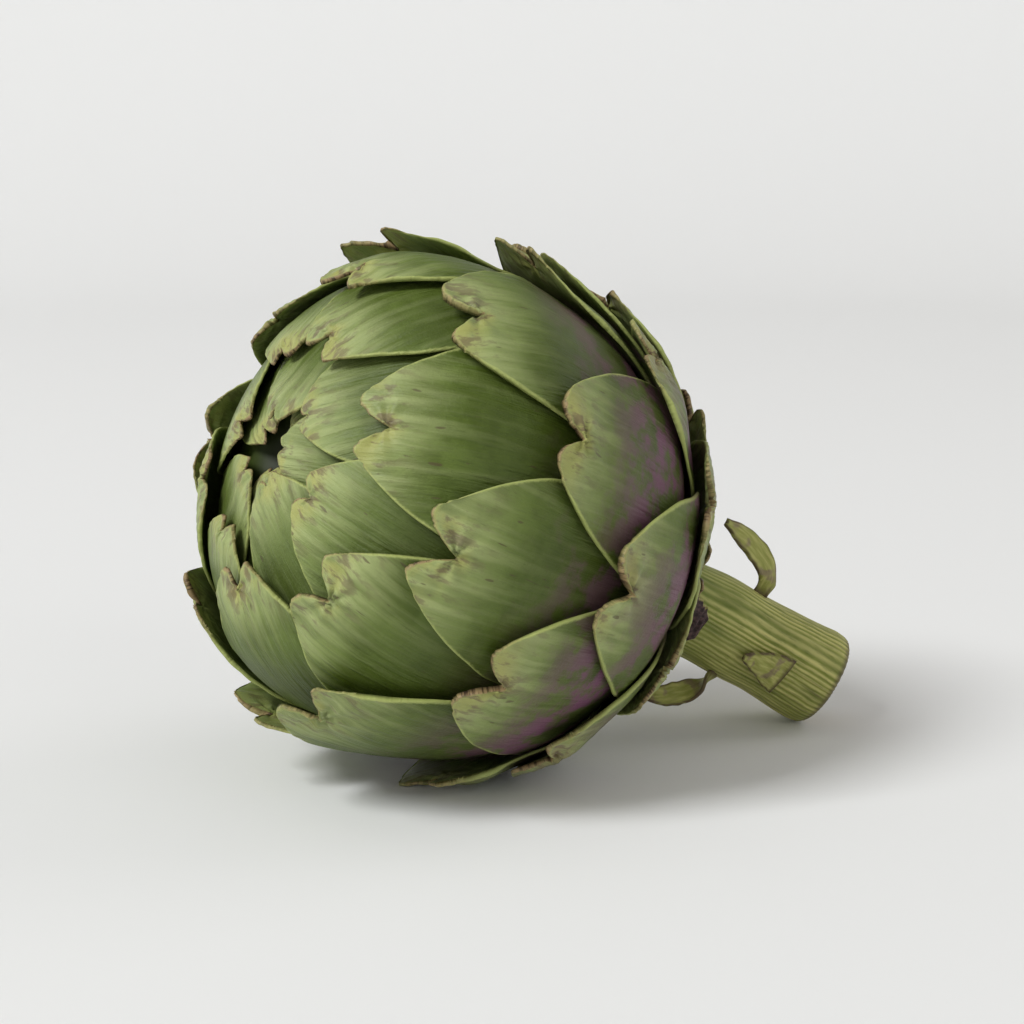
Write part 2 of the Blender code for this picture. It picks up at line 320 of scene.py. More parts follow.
def size_share(index, crown_shrink):
    """A bract's size as a share of full size: smaller toward the crown and the stem."""
    crown_least, crown_from, crown_over = crown_shrink
    stem_least, stem_from, stem_over = STEM_SHRINK
    crown_side = from_least(crown_least, smoothstep((index - crown_from) / crown_over))
    stem_side = 1.0 - (1.0 - stem_least) * smoothstep((index - stem_from) / stem_over)
    return crown_side * stem_side


def tip_scale(index):
    return size_share(index, CROWN_TIP_SHRINK)


def sheet_scale(index):
    """The sheets below the tips vary less than the tips do."""
    return size_share(index, CROWN_SHEET_SHRINK)


def half_width(index, along, length):
    """Half the width of a bract at a distance down from its tip."""
    narrow = TIP_HALF_WIDTH * tip_scale(index)
    wide = MAX_HALF_WIDTH * sheet_scale(index)
    widening = 1.0 - np.exp(-along / (WIDENING_LENGTH * sheet_scale(index)))
    start = min(NARROWING_START, 0.5 * length)
    narrowing = 1.0 - BASE_NARROWING * smoothstep((along - start) / (length - start))
    return (narrow + (wide - narrow) * widening) * narrowing


# ---------------------------------------------------------------- mesh tools
def wander(places, wavelength, rng):
    """Smooth random curve of unit size through places, about one swing per wavelength."""
    span = float(np.max(places) - np.min(places)) + wavelength
    knots = np.arange(0.0, span + 2.0 * wavelength, wavelength)
    heights = rng.uniform(-1.0, 1.0, len(knots))
    at = (places - np.min(places)) / wavelength
    left = np.floor(at).astype(int)
    blend = smoothstep(at - left)
    return heights[left] * (1.0 - blend) + heights[left + 1] * blend


def rolling(x, y, wavelength, rng):
    """Smooth random surface of about unit size."""
    total = np.zeros(np.broadcast(x, y).shape)
    for _ in range(ROLLING_WAVES):
        angle = rng.uniform(0.0, 2.0 * math.pi)
        phase = rng.uniform(0.0, 2.0 * math.pi)
        scale = 2.0 * math.pi / (wavelength * rng.uniform(0.7, 1.5))
        total += np.sin(scale * (x * math.cos(angle) + y * math.sin(angle)) + phase)
    return total / (0.5 * ROLLING_WAVES)


def columns_across(count, crowding):
    """Places from -1 to 1 across a leaf, closer together toward its edges."""
    even = np.linspace(-1.0, 1.0, count)
    return (1.0 - crowding) * even + crowding * np.sin(0.5 * math.pi * even)


def rows_down(length, scale):
    """Row places from the tip to the base, closest together where the bract shows."""
    coarser = 1.0
    rows = [0.0]
    for spacing, until in ROW_SPACINGS:
        while rows[-1] < min(until * scale, length):
            rows.append(rows[-1] + spacing * coarser * max(scale, 0.6))
    rows = [row for row in rows if row < length - 1.0]
    return np.array(rows + [length])


def closed_sheet(name, outer, inner, values):
    """Closed mesh of two matching grids that share their outline, with a bake map."""
    rows, columns = outer.shape[:2]
    grid = np.arange(rows * columns).reshape(rows, columns)
    under = grid + rows * columns
    rim = np.ones((rows, columns), dtype=bool)
    rim[1:-1, 1:-1] = False
    under = np.where(rim, grid, under)

    def quads(ids):
        corners = (ids[:-1, :-1], ids[:-1, 1:], ids[1:, 1:], ids[1:, :-1])
        return np.stack(corners, axis=-1).reshape(-1, 4)

    faces = np.concatenate((quads(grid), quads(under)[:, ::-1]))
    used = np.concatenate((grid.ravel(), under[~rim]))
    lookup = np.full(2 * rows * columns, -1)
    lookup[used] = np.arange(len(used))
    points = np.concatenate((outer.reshape(-1, 3), inner.reshape(-1, 3)))[used]
    mesh = bpy.data.meshes.new(name)
    mesh.from_pydata((points * METRES_PER_MM).tolist(), [], lookup[faces].tolist())

    across, down = np.meshgrid(np.linspace(0.0, 1.0, columns), np.linspace(0.0, 1.0, rows))
    top = np.stack((0.01 + 0.72 * across, 0.01 + 0.98 * down), axis=-1).reshape(-1, 2)
    back = np.stack((0.76 + 0.23 * across, 0.01 + 0.98 * down), axis=-1).reshape(-1, 2)
    corner_uv = np.concatenate((top[quads(grid)], back[quads(grid)][:, ::-1]))
    layer = mesh.uv_layers.new(name="OFBake")
    layer.data.foreach_set("uv", corner_uv.reshape(-1).astype(np.float32))

    for key, value in values.items():
        both = np.concatenate((value.ravel(), value.ravel()))[used]
        attribute = mesh.attributes.new(key, "FLOAT", "POINT")
        attribute.data.foreach_set("value", both.astype(np.float32))
    facing = np.concatenate((np.ones(rows * columns), np.zeros(int((~rim).sum()))))
    attribute = mesh.attributes.new("facing_out", "FLOAT", "POINT")
    attribute.data.foreach_set("value", facing.astype(np.float32))
    mesh.shade_smooth()
    mesh.validate()
    return mesh


def faces_outward(mesh):
    """Whether a closed mesh's faces point out of it, by its signed volume."""
    mesh.calc_loop_triangles()
    corners = np.empty(3 * len(mesh.loop_triangles), dtype=np.int32)
    mesh.loop_triangles.foreach_get("vertices", corners)
    places = np.empty(3 * len(mesh.vertices), dtype=np.float32)
    mesh.vertices.foreach_get("co", places)
    a, b, c = places.reshape(-1, 3).astype(float)[corners.reshape(-1, 3)].transpose(1, 0, 2)
    return float(np.sum(a * np.cross(b, c))) > 0.0


# ---------------------------------------------------------------- bracts
def tip_edge(across, scale, rng):
    """How far down from the tip the edge starts: an uneven notch between two lobes."""
    shift = rng.uniform(-NOTCH_SHIFT, NOTCH_SHIFT)
    depth = NOTCH_DEPTH * rng.uniform(0.75, 1.15)
    edge = depth * np.exp(-np.abs((across - shift) / NOTCH_WIDTH) ** 1.4)
    for side in (-1.0, 1.0):
        reach = LOBE_REACH * rng.uniform(0.5, 1.5)
        place = side * LOBE_PLACE * rng.uniform(0.85, 1.15)
        edge = edge - reach * np.exp(-(((across - place) / LOBE_WIDTH) ** 2))
    edge = edge + SHOULDER_DROP * np.abs(across) ** 4
    coarse = np.abs(wander(across * TIP_HALF_WIDTH, NICK_LENGTH, rng))
    fine = np.abs(wander(across * TIP_HALF_WIDTH, 0.5 * NICK_LENGTH, rng))
    return scale * (edge + CRENATION * (coarse + 0.6 * fine))


def rounded(distance):
    """Share of the full thickness at a distance inside an edge: a quarter circle in profile."""
    near = np.clip(distance / RIM_ROUND, 0.0, 1.0)
    return np.sqrt(near * (2.0 - near))


def bract_course(index):
    """A bract's azimuth and tip angle in radians, its length and its extra lift."""
    lean_polar, lean_azimuth, extra_lift = (LEANS | YOUNG_LEANS).get(index, (0, 0, 0))
    azimuth = math.radians(FIRST_AZIMUTH - SPIRAL_TURN * index + lean_azimuth)
    tip = tip_polar(index) + lean_polar
    base = BASE_POLAR if index < FIRST_OUTER_BRACT else OUTER_BASE_POLAR
    if index < FIRST_BRACT:
        base = YOUNG_BASE_POLAR
    return azimuth, math.radians(tip), math.radians(base - tip) * ARC_RADIUS, extra_lift


def directions(azimuth, down_angle, side_angle):
    """Directions from the head's centre, by angles along a bract and across it."""
    outward = math.cos(azimuth) * UPWARD + math.sin(azimuth) * SIDEWAYS
    lateral = -math.sin(azimuth) * UPWARD + math.cos(azimuth) * SIDEWAYS
    return (
        (np.cos(side_angle) * np.cos(down_angle))[..., None] * CROWN
        + (np.cos(side_angle) * np.sin(down_angle))[..., None] * outward
        + np.sin(side_angle)[..., None] * lateral
    )


def bract_lift(index, along, scale, extra_lift):
    """How far the tip stands off the sheet, or bends toward the hollow at the crown."""
    free = np.clip(1.0 - along / (LIFT_LENGTH * scale), 0.0, 1.2) ** 2
    bent = np.clip(1.0 - along / CROWN_BEND_LENGTH, 0.0, 1.2) ** 2
    straight = smoothstep((index - LAST_FULLY_BENT) / (FIRST_STRAIGHT - LAST_FULLY_BENT))
    return (TIP_LIFT * scale + extra_lift) * free - CROWN_BEND * (1.0 - straight) * bent


def bract_relief(along, aside, down, scale, shown, rng):
    """Height of the broad waves, the folds around the notch and the veins."""
    below_notch = along - FOLD_CENTRE * scale
    from_notch = np.hypot(aside, below_notch)
    folds = np.cos(FOLD_COUNT * np.arctan2(aside, below_notch) + rng.uniform(0.0, 6.0))
    folds = PUCKER * scale * folds * np.exp(-from_notch / (FOLD_REACH * scale))
    waves = UNDULATION * scale * rolling(aside, down, WAVE_LENGTH, rng) * shown
    sway = 2.0 * wander(down[:, 0], VEIN_SWAY_LENGTH, rng)[:, None]
    spacing = VEIN_SPACING + VEIN_SPREAD * down
    veins = VEIN_RELIEF * np.sin(2.0 * math.pi * aside / spacing + sway)
    return waves + folds * shown + veins * np.minimum(1.0, 3.0 * shown)


def bract_mesh(index, name):
    rng = np.random.default_rng(SEED + index)
    scale = float(tip_scale(index))
    azimuth, tip_angle, length, extra_lift = bract_course(index)

    columns = columns_across(COLUMNS, COLUMN_CROWDING)
    rows = rows_down(length, scale)
    across, down = np.meshgrid(columns, rows)
    edge = tip_edge(columns, scale, rng)
    edge_fade = (1.0 - down / length) ** EDGE_FADE_POWER * np.exp(-down / (EDGE_FADE_LENGTH * scale))
    along = down + edge * edge_fade
    breadth = TIP_BREADTH * scale * np.exp(-down / (TIP_BREADTH_LENGTH * scale))
    width = half_width(index, down, length) + breadth
    ragged = 1.0 + SIDE_WANDER * wander(rows, SIDE_WANDER_LENGTH, rng)[:, None] * np.sign(across)
    aside = across * width * ragged
    direction = directions(azimuth, tip_angle + along / ARC_RADIUS, aside / ARC_RADIUS)
    polar = np.arccos(np.clip(direction @ CROWN, -1.0, 1.0))

    from_side = (1.0 - np.abs(across)) * width
    rim = np.minimum(from_side, down)
    middle = 1.0 - across**2
    shown = np.clip(1.0 - down / (BULGE_LENGTH * scale), 0.0, 1.0) ** 0.7
    past_tip = smoothstep(down / (THIN_TIP_LENGTH * scale))

    thickness = EDGE_THICKNESS + (MID_THICKNESS - EDGE_THICKNESS) * middle
    thickness = thickness * from_least(0.6, scale) * from_least(0.6, past_tip)
    thickness = thickness * rounded(from_side) * rounded(down) * rounded(length - down)

    lift = bract_lift(index, along, scale, extra_lift)
    lift = lift + EDGE_CURL * scale * np.exp(-rim / EDGE_CURL_WIDTH) * shown * rounded(rim)
    relief = bract_relief(along, aside, down, scale, shown, rng) * rounded(rim)
    bulge = TIP_BULGE * from_least(0.35, scale) * middle * shown
    bulge = bulge * rounded(from_side) * rounded(down) * from_least(0.2, past_tip)

    # The inner face follows the relief less than the outer one
    radius = sheet_radius(index, polar) + lift + 0.6 * relief
    outer = HEAD_CENTRE + direction * (radius + 0.5 * thickness + bulge + 0.4 * relief)[..., None]
    inner = HEAD_CENTRE + direction * (radius - 0.5 * thickness)[..., None]
    for points in (outer, inner):
        points[..., 2] = np.maximum(points[..., 2], GROUND_GAP)

    values = {
        "down_mm": along,
        "aside_mm": aside,
        "rim_mm": rim,
        "tip_mm": np.hypot(aside * 0.5, down),
        "polar_deg": np.degrees(polar),
        "seed": np.full(across.shape, rng.uniform(0.0, 1.0)),
        "size": np.full(across.shape, scale),
    }
    mesh = closed_sheet(name, outer, inner, values)
    if not faces_outward(mesh):
        mesh.flip_normals()
    return mesh


# ---------------------------------------------------------------- stem and its small leaves
def stem_centre(share):
    """The stem's middle line, a curve that leaves the head along its axis."""
    share = np.asarray(share, dtype=float)[..., None]
    start = HEAD_CENTRE - CROWN * STEM_START
    bend = HEAD_CENTRE - CROWN * STEM_BEND
    end = HEAD_CENTRE + STEM_END
    return (1 - share) ** 2 * start + 2 * share * (1 - share) * bend + share**2 * end


def stem_radius(share):
    places, radii = zip(*STEM_RADII)
    return np.interp(share, places, radii)


def stem_axes(share):
    """Directions at a place on the stem: along it, level sideways (-Y) and up."""
    ahead = stem_centre(np.asarray(share) + 0.01) - stem_centre(np.asarray(share) - 0.01)
    ahead = ahead / np.linalg.norm(ahead, axis=-1, keepdims=True)
    side = np.cross(ahead, (0.0, 0.0, 1.0))
    side = side / np.linalg.norm(side, axis=-1, keepdims=True)
    return ahead, side, np.cross(side, ahead)


def tube_mesh(name, points, values):
    """Closed mesh of rings of points, each end closed by a fan of triangles, with a bake map."""
    rings, around = points.shape[:2]
    grid = np.arange(rings * around).reshape(rings, around)
    wrapped = np.concatenate((grid, grid[:, :1]), axis=1)
    corners = (wrapped[:-1, :-1], wrapped[:-1, 1:], wrapped[1:, 1:], wrapped[1:, :-1])
    quads = np.stack(corners, axis=-1).reshape(-1, 4)
    first, last = rings * around, rings * around + 1
    start_fan = [(first, b, a) for a, b in zip(wrapped[0, :-1], wrapped[0, 1:])]
    end_fan = [(last, a, b) for a, b in zip(wrapped[-1, :-1], wrapped[-1, 1:])]
    places = np.concatenate((points.reshape(-1, 3), points[:1].mean(axis=1), points[-1:].mean(axis=1)))
    mesh = bpy.data.meshes.new(name)
    mesh.from_pydata((places * METRES_PER_MM).tolist(), [], quads.tolist() + start_fan + end_fan)

    turn, ring = np.meshgrid(np.linspace(0.01, 0.99, around + 1), np.linspace(0.02, 0.98, rings))
    spots = np.stack((turn, ring), axis=-1)
    quad_spots = np.stack((spots[:-1, :-1], spots[:-1, 1:], spots[1:, 1:], spots[1:, :-1]), axis=2)
    before = np.stack((0.5 * (turn[0, :-1] + turn[0, 1:]), np.full(around, 0.01)), axis=-1)
    after = np.stack((0.5 * (turn[0, :-1] + turn[0, 1:]), np.full(around, 0.99)), axis=-1)
    start_spots = np.stack((before, spots[0, 1:], spots[0, :-1]), axis=1)
    end_spots = np.stack((after, spots[-1, :-1], spots[-1, 1:]), axis=1)
    uv = np.concatenate([part.reshape(-1) for part in (quad_spots, start_spots, end_spots)])
    mesh.uv_layers.new(name="OFBake").data.foreach_set("uv", uv.astype(np.float32))
    for key, value in values.items():
        every = np.concatenate((value.ravel(), [value[0].mean(), value[-1].mean()]))
        mesh.attributes.new(key, "FLOAT", "POINT").data.foreach_set("value", every.astype(np.float32))
    mesh.shade_smooth()
    if not faces_outward(mesh):
        mesh.flip_normals()
    return mesh


def stem_mesh(name):
    """The ribbed stem, from inside the head to the cut, which is a little hollow."""
    rng = np.random.default_rng(SEED + 900)
    angles = np.linspace(0.0, 2.0 * math.pi, STEM_COLUMNS, endpoint=False)
    # Rings fill each end from its middle, and the others run along the stem
    shares = np.linspace(0.0, 1.0, STEM_ROWS)
    inside = np.linspace(0.03, 1.0, CUT_RINGS)
    shares = np.concatenate((np.zeros(CUT_RINGS - 1), shares, np.ones(CUT_RINGS - 1)))
    filled = np.concatenate((inside[:-1], np.ones(STEM_ROWS), inside[-2::-1]))

    angle, share = np.meshgrid(angles, shares)
    fill = np.broadcast_to(filled[:, None], angle.shape)
    warp = angle + 0.07 * np.sin(3.0 * angle + 1.0) + 0.035 * np.sin(7.0 * angle) + 0.10 * share
    warp = warp + 0.005 * rolling(70.0 * share, 10.0 * angle, 9.0, rng)
    uneven = 0.65 + 0.35 * np.sin(2.0 * angle + 1.3) * np.sin(5.0 * angle + 0.4)
    wave = np.cos(RIB_COUNT * warp)
    ribs = RIB_DEPTH * uneven * (wave - 0.6) * from_least(0.35, smoothstep((share - 0.4) / 0.35))
    knots = KNOT_HEIGHT * rolling(60.0 * share, 10.0 * angle, 14.0, rng)
    near_cut = np.clip((1.0 - share) * STEM_LENGTH / CUT_ROUND, 0.0, 1.0)
    rim_round = CUT_ROUND_DEPTH * (1.0 - np.sqrt(near_cut * (2.0 - near_cut)))
    radius = (stem_radius(share) + (ribs + knots) * smoothstep(share * 12.0) - rim_round) * fill
    ahead, side, up = stem_axes(share)
    out = np.cos(angle)[..., None] * side + np.sin(angle)[..., None] * up
    points = stem_centre(share) + out * radius[..., None]
    cut = (share > 0.999) & (fill < 1.0)
    growth_rings = CUT_RING_HEIGHT * np.cos(2.0 * math.pi * CUT_RING_WAVES * fill) * fill
    hollow = np.where(cut, growth_rings - CUT_HOLLOW * (1.0 - fill**2), 0.0)
    points = points + ahead * hollow[..., None]
    points[..., 2] = np.maximum(points[..., 2], GROUND_GAP)
    values = {
        "share": share,
        "turn": warp,
        "rib": wave * uneven,
        "fill": np.where(share > 0.999, fill, 1.0),
    }
    return tube_mesh(name, points, values)


def stem_surface(from_cut, azimuth, height):
    """A place over the stem's surface, by its distance from the cut and its angle around."""
    length = float(np.linalg.norm(stem_centre(1.0) - stem_centre(0.0)))
    share = 1.0 - from_cut / length
    _, side, up = stem_axes(share)
    angle = math.radians(azimuth)
    out = math.cos(angle) * side + math.sin(angle) * up
    return stem_centre(share) + out * (stem_radius(share) + height)


def smooth_line(points, count):
    """A smooth curve through points, and its place along them from 0 to 1."""
    points = np.asarray(points, dtype=float)
    padded = np.concatenate((2 * points[:1] - points[1:2], points, 2 * points[-1:] - points[-2:-1]))
    at = np.linspace(0.0, len(points) - 1.0, count)
    left = np.minimum(np.floor(at).astype(int), len(points) - 2)
    t = (at - left).reshape((-1,) + (1,) * (points.ndim - 1))
    p0, p1, p2, p3 = (padded[left + i] for i in range(4))
    line = 0.5 * (2 * p1 + (p2 - p0) * t + (2 * p0 - 5 * p1 + 4 * p2 - p3) * t**2
                  + (3 * p1 - p0 - 3 * p2 + p3) * t**3)
    return line, at / (len(points) - 1.0)


def stem_leaf_mesh(name):
    route, half_widths, thickness = STEM_LEAVES[name]
    rng = np.random.default_rng(SEED + sum(map(ord, name)))
    places = np.array([stem_surface(*place) for place in route])
    outs = np.array([stem_surface(d, a, h + 1.0) - stem_surface(d, a, h) for d, a, h in route])
    line, share = smooth_line(places, STEM_LEAF_ROWS)
    out, _ = smooth_line(outs, STEM_LEAF_ROWS)
    widths, _ = smooth_line(np.array(half_widths), STEM_LEAF_ROWS)
    widths = widths[:, None]
    down = share[:, None] * STEM_LEAF_PATTERN_LENGTH

    along = np.gradient(line, axis=0)
    along /= np.linalg.norm(along, axis=1)[:, None]
    flat_across = np.cross(along, out)
    flat_across /= np.linalg.norm(flat_across, axis=1)[:, None]
    flat_normal = np.cross(flat_across, along)
    first_turn, last_turn = STEM_LEAF_TWIST[name]
    twist = np.radians(first_turn + (last_turn - first_turn) * smoothstep(2.5 * share))[:, None]
    across = np.cos(twist) * flat_across + np.sin(twist) * flat_normal
    normal = np.cos(twist) * flat_normal - np.sin(twist) * flat_across

    sides = columns_across(STEM_LEAF_COLUMNS, STEM_LEAF_CROWDING)[None, :]
    ragged = 1.0 + RAGGED_EDGE[name] * wander(down, 1.4, rng)
    lateral = sides * widths * ragged
    curl = STEM_LEAF_CURL * sides**2 * widths * (1.0 + 0.8 * wander(down, 4.0, rng))
    dent = STEM_LEAF_DENT * rolling(lateral, down, 3.5, rng)
    from_side = (1.0 - np.abs(sides)) * widths
    near = np.clip(2.0 * from_side, 0.0, 1.0)
    ends = np.clip(np.minimum(share, 1.0 - share) * 40.0, 0.0, 1.0)[:, None]
    swell = np.sqrt(near * (2.0 - near)) * np.sqrt(ends * (2.0 - ends))
    half = 0.5 * thickness * swell
    middle = line[:, None, :] + across[:, None, :] * lateral[..., None]
    middle = middle - normal[:, None, :] * curl[..., None]
    outer = middle + normal[:, None, :] * (half + dent * swell)[..., None]
    inner = middle - normal[:, None, :] * (half - dent * swell)[..., None]
    values = {
        "down_mm": np.broadcast_to(down, lateral.shape),
        "aside_mm": lateral,
        "rim_mm": np.minimum(from_side, STEM_LEAF_PATTERN_LENGTH - down),
    }
    mesh = closed_sheet(name, outer, inner, values)
    if not faces_outward(mesh):
        mesh.flip_normals()
    return mesh


# ---------------------------------------------------------------- core of the inner bud
def bud_core_mesh(name):
    """The core inside the young bracts: the innermost sheet's shape, with a dimple."""
    fine = np.linspace(0.01, BUD_FINE_UNTIL, BUD_FINE_ROWS)
    coarse = np.linspace(BUD_FINE_UNTIL + 0.02, 3.13, BUD_COARSE_ROWS)
    azimuths = np.linspace(0.0, 2.0 * math.pi, BUD_COLUMNS, endpoint=False)
    azimuth, polar = np.meshgrid(azimuths, np.concatenate((fine, coarse)))
    dimple = BUD_DIMPLE * np.exp(-((np.degrees(polar) / BUD_DIMPLE_WIDTH) ** 2))
    radius = sheet_radius(BUD_INDEX, polar) - dimple
    direction = (
        np.cos(polar)[..., None] * CROWN
        + (np.sin(polar) * np.cos(azimuth))[..., None] * UPWARD
        + (np.sin(polar) * np.sin(azimuth))[..., None] * SIDEWAYS
    )
    points = HEAD_CENTRE + direction * radius[..., None]
    return tube_mesh(name, points, {"polar_deg": np.degrees(polar)})


# ---------------------------------------------------------------- materials
class Nodes:
    """A small helper that adds nodes to one material's tree."""

    def __init__(self, name):
        self.material = bpy.data.materials.new(name)
        self.material.use_nodes = True
        self.tree = self.material.node_tree
        self.shader = self.tree.nodes["Principled BSDF"]

    def add(self, kind, **settings):
        made = self.tree.nodes.new(kind)
        for key, value in settings.items():
            setattr(made, key, value)
        return made

    def put(self, socket, value):
        if isinstance(value, bpy.types.NodeSocket):
            self.tree.links.new(value, socket)
        elif isinstance(value, tuple) and len(value) == 3 and socket.type == "RGBA":
            socket.default_value = (*value, 1.0)
        else:
            socket.default_value = value

    def measure(self, name):
        """A value that the mesh carries at each of its points."""
        return self.add("ShaderNodeAttribute", attribute_name=name).outputs["Fac"]

    def maths(self, operation, a, b=0.0):
        made = self.add("ShaderNodeMath", operation=operation)
        self.put(made.inputs[0], a)
        self.put(made.inputs[1], b)
        return made.outputs[0]

    def product(self, first, *others):
        for other in others:
            first = self.maths("MULTIPLY", first, other)
        return first

    def fade(self, value, start, end, low=0.0, high=1.0):
        """A smooth step of value from low at start to high at end."""
        made = self.add("ShaderNodeMapRange", interpolation_type="SMOOTHSTEP")
        for socket, given in zip(made.inputs[:5], (value, start, end, low, high)):
            self.put(socket, given)
        return made.outputs[0]

    def place(self, x, y, z):
        made = self.add("ShaderNodeCombineXYZ")
        for socket, given in zip(made.inputs, (x, y, z)):
            self.put(socket, given)
        return made.outputs[0]

    def noise(self, place, scale, detail=3.0, roughness=0.55):
        made = self.add("ShaderNodeTexNoise", noise_dimensions="3D")
        self.put(made.inputs["Vector"], place)
        self.put(made.inputs["Scale"], scale)
        self.put(made.inputs["Detail"], detail)
        self.put(made.inputs["Roughness"], roughness)
        return made.outputs[0]

    def mix(self, share, a, b):
        """Colour a, turned into colour b as share goes from 0 to 1."""
        made = self.add("ShaderNodeMix", data_type="RGBA")
        factor, first, second = (made.inputs[i] for i in (0, 6, 7))
        self.put(factor, share)
        self.put(first, a)
        self.put(second, b)
        return made.outputs[2]

    def bump(self, height, distance_mm, strength):
        made = self.add("ShaderNodeBump")
        self.put(made.inputs["Height"], height)
        made.inputs["Distance"].default_value = distance_mm * METRES_PER_MM
        made.inputs["Strength"].default_value = strength
        self.tree.links.new(made.outputs[0], self.shader.inputs["Normal"])

    def finish(self, colour, roughness, specular=0.35):
        self.put(self.shader.inputs["Base Color"], colour)
        self.put(self.shader.inputs["Roughness"], roughness)
        self.shader.inputs["Specular IOR Level"].default_value = specular
        return self.material


class BractPattern:
    """The places and noises that all layers of the bracts' colour share."""

    def __init__(self, nodes):
        self.down, self.aside = nodes.measure("down_mm"), nodes.measure("aside_mm")
        self.rim, self.tip = nodes.measure("rim_mm"), nodes.measure("tip_mm")
        self.polar, self.size = nodes.measure("polar_deg"), nodes.measure("size")
        self.seed = nodes.product(nodes.measure("seed"), 400.0)
        self.flat_place = nodes.place(self.aside, self.down, self.seed)
        long_place = self.stretched(nodes, 0.09)
        self.blotches = nodes.noise(self.flat_place, 0.10, 4.0, 0.6)
        self.specks = nodes.noise(self.flat_place, 1.6, 4.0, 0.65)
        self.fibres = nodes.noise(long_place, 2.2, 3.0)
        self.streaks = nodes.noise(long_place, 0.55, 3.0)

    def stretched(self, nodes, share):
        """A place on the bract where patterns are drawn out along it, as its fibres run."""
        return nodes.place(self.aside, nodes.product(self.down, share), self.seed)


def bract_greens(nodes, of):
    """Olive and sage blotches, pale bloom with a painted highlight toward the tip and painted shade in
    deep green toward the base.
    """
    colour = nodes.mix(nodes.fade(of.blotches, 0.40, 0.62), OLIVE, SAGE)
    colour = nodes.mix(nodes.fade(of.streaks, 0.45, 0.68, 0.0, 0.30), colour, BLOOM_AND_HIGHLIGHT)
    colour = nodes.mix(nodes.fade(of.fibres, 0.50, 0.75, 0.0, 0.42), colour, DEEP_GREEN)
    colour = nodes.mix(nodes.fade(of.specks, 0.56, 0.74, 0.0, 0.35), colour, DEEP_GREEN)
    # Pale bloom toward the tip, brightened there as a painted highlight
    near_tip = nodes.fade(of.tip, 17.0, 2.0, 0.0, 0.90)
    painted_tip_highlight = nodes.product(near_tip, nodes.fade(of.streaks, 0.36, 0.64, 0.55, 1.0))
    colour = nodes.mix(painted_tip_highlight, colour, BLOOM_AND_HIGHLIGHT)
    # Painted shade: deep green toward the base, where each bract slips under the next
    colour = nodes.mix(nodes.fade(of.down, 5.0, 23.0, 0.0, 0.62), colour, DEEP_GREEN)
    yellow = nodes.product(nodes.fade(of.tip, 7.0, 2.0), nodes.fade(of.blotches, 0.42, 0.56), 0.7)
    return nodes.mix(yellow, colour, TIP_YELLOW)


def bract_purple(nodes, of, colour):
    """Violet patches on the bracts near the stem, below their tips."""
    patches = nodes.fade(nodes.noise(of.flat_place, 0.09, 6.0, 0.66), 0.45, 0.57, 0.05, 1.0)
    by_bract = nodes.fade(nodes.noise(nodes.place(of.seed, 0.0, 0.0), 0.37, 0.0), 0.3, 0.6, 0.75, 1.0)
    toward_stem = nodes.fade(of.polar, 66.0, 106.0)
    below_tip = nodes.fade(of.down, 6.0, 22.0, 0.35, 1.0)
    return nodes.mix(nodes.product(toward_stem, patches, by_bract, below_tip), colour, PURPLE)


def bract_marks_and_crown_highlight(nodes, of, colour):
    """A painted highlight in pale cream on the small bracts at the crown, bruised streaks around the
    tip and short dark cracks.
    """
    # Painted highlight: pale cream on the smaller bracts toward the crown
    colour = nodes.mix(nodes.fade(of.size, 0.9, 0.4, 0.0, 0.05), colour, CROWN_PAINTED_HIGHLIGHT)
    bruises = nodes.fade(nodes.noise(of.stretched(nodes, 0.35), 0.55, 5.0, 0.6), 0.51, 0.62)
    bruises = nodes.product(nodes.fade(of.tip, 13.0, 1.0), bruises, 0.66)
    colour = nodes.mix(bruises, colour, BRUISE)
    cracks = nodes.noise(of.stretched(nodes, 0.22), 0.85, 1.0)
    return nodes.mix(nodes.fade(cracks, 0.735, 0.775, 0.0, 0.6), colour, DARK_BROWN)


def bract_rim(nodes, of, colour):
    """A pale rim along the sides that dries to tan and brown around the tip."""
    waver = nodes.product(nodes.maths("SUBTRACT", of.specks, 0.5), 0.9)
    from_rim = nodes.maths("ADD", of.rim, waver)
    upper_part = nodes.fade(of.down, 34.0, 16.0, 0.2, 0.8)
    colour = nodes.mix(nodes.product(nodes.fade(from_rim, 0.95, 0.25), upper_part), colour, PALE_RIM)
    dry = nodes.product(nodes.fade(from_rim, 0.65, 0.15), nodes.fade(of.tip, 7.0, 1.5))
    dry = nodes.product(dry, nodes.fade(of.blotches, 0.35, 0.55, 0.55, 1.0))
    dry_colour = nodes.mix(nodes.fade(of.specks, 0.45, 0.6), DRY_TAN, DARK_BROWN)
    return nodes.mix(dry, colour, dry_colour)


def bract_finish():
    nodes = Nodes("bract")
    of = BractPattern(nodes)
    colour = bract_greens(nodes, of)
    colour = bract_purple(nodes, of, colour)
    colour = bract_marks_and_crown_highlight(nodes, of, colour)
    colour = bract_rim(nodes, of, colour)
    inner_face = nodes.maths("SUBTRACT", 1.0, nodes.measure("facing_out"))
    colour = nodes.mix(nodes.product(inner_face, 0.3), colour, SAGE)

    grain = nodes.maths("ADD", nodes.product(of.fibres, 0.4), nodes.product(of.specks, 0.4))
    nodes.bump(nodes.maths("ADD", grain, nodes.product(of.streaks, 1.6)), 0.36, 0.9)
    return nodes.finish(colour, nodes.fade(of.streaks, 0.3, 0.7, 0.42, 0.56), BRACT_SPECULAR)


